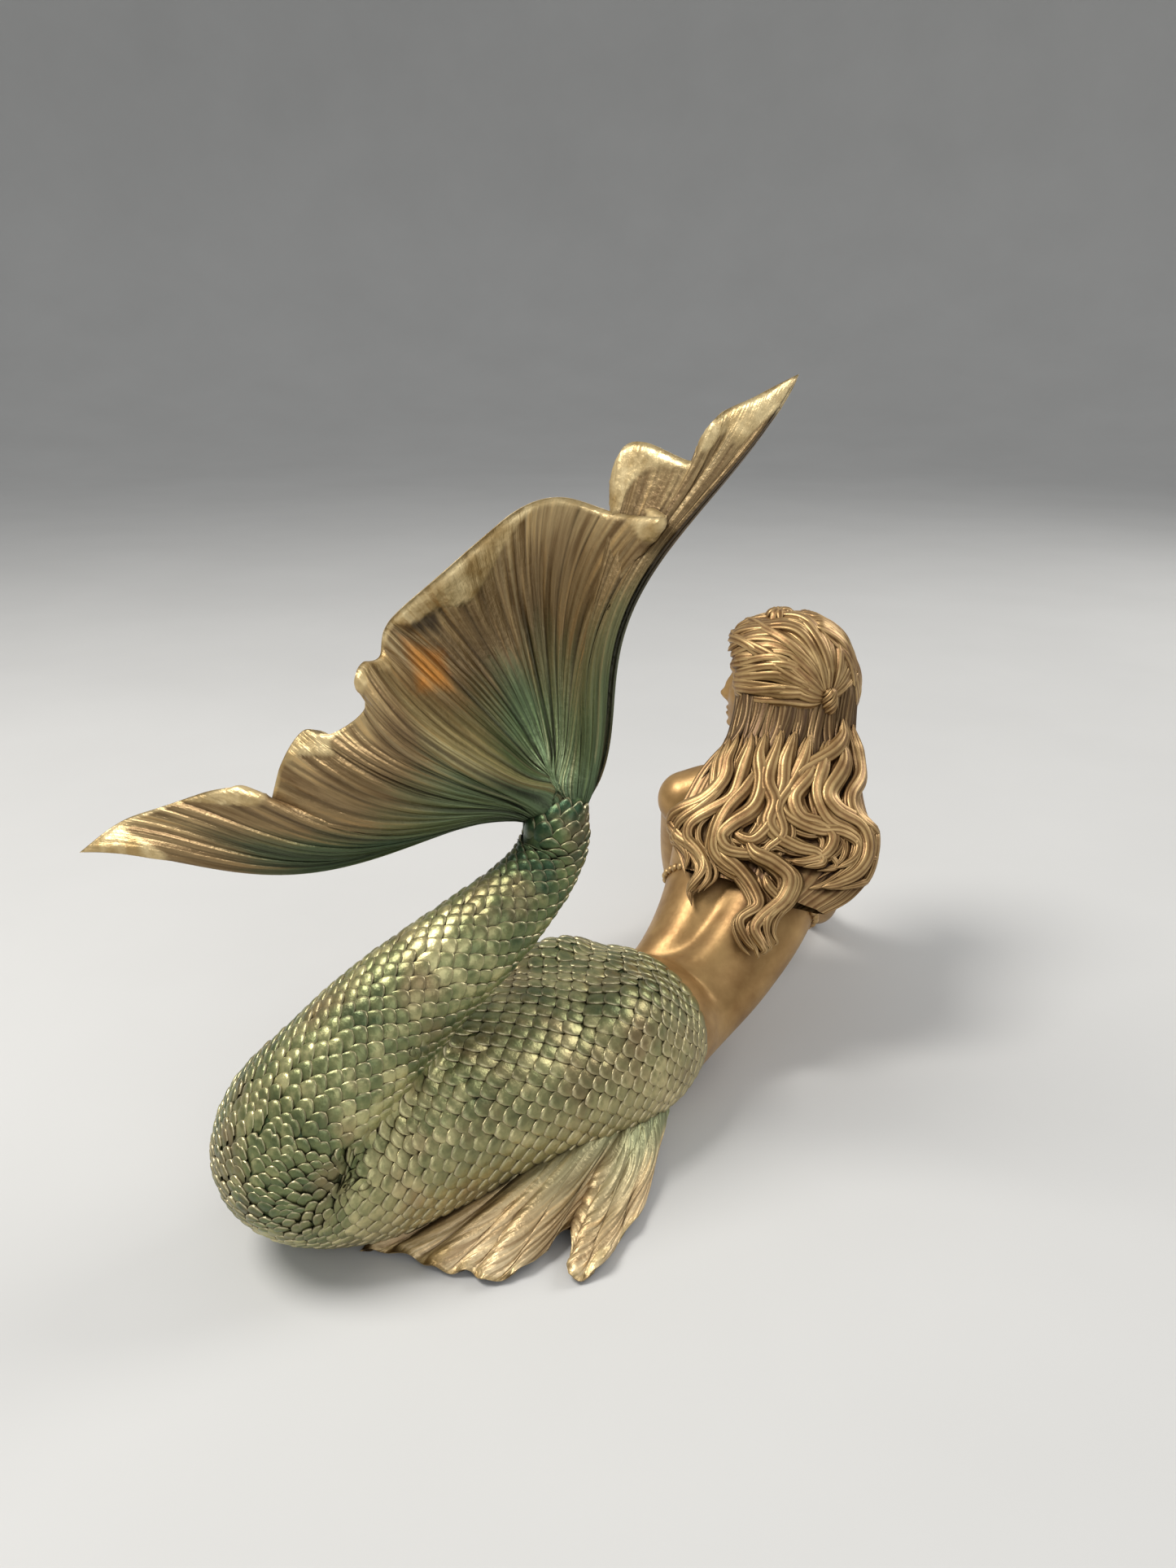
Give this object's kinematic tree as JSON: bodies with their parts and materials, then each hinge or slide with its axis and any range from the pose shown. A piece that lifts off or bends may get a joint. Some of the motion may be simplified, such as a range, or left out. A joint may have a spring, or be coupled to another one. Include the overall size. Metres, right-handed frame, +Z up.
{
  "type": "mermaid figurine",
  "caption": "Cast mermaid lying on her front, propped on her forearms, with her scaled tail folded up behind her and a ruffled fluke fanned above her hips.",
  "frame": {"origin": "middle of the footprint box, on the surface that the figurine stands on", "axes": "+Y from the folded tail to the head, +X to her right, +Z up"},
  "size_m": [0.1247, 0.2408, 0.1767],
  "materials": {
    "bronze_finish": "satin bronze paint on cast resin, with a green patina on the scales and gold edges"
  },
  "bodies": {
    "root": {"mermaid": "bronze_finish"}
  },
  "joints": []
}
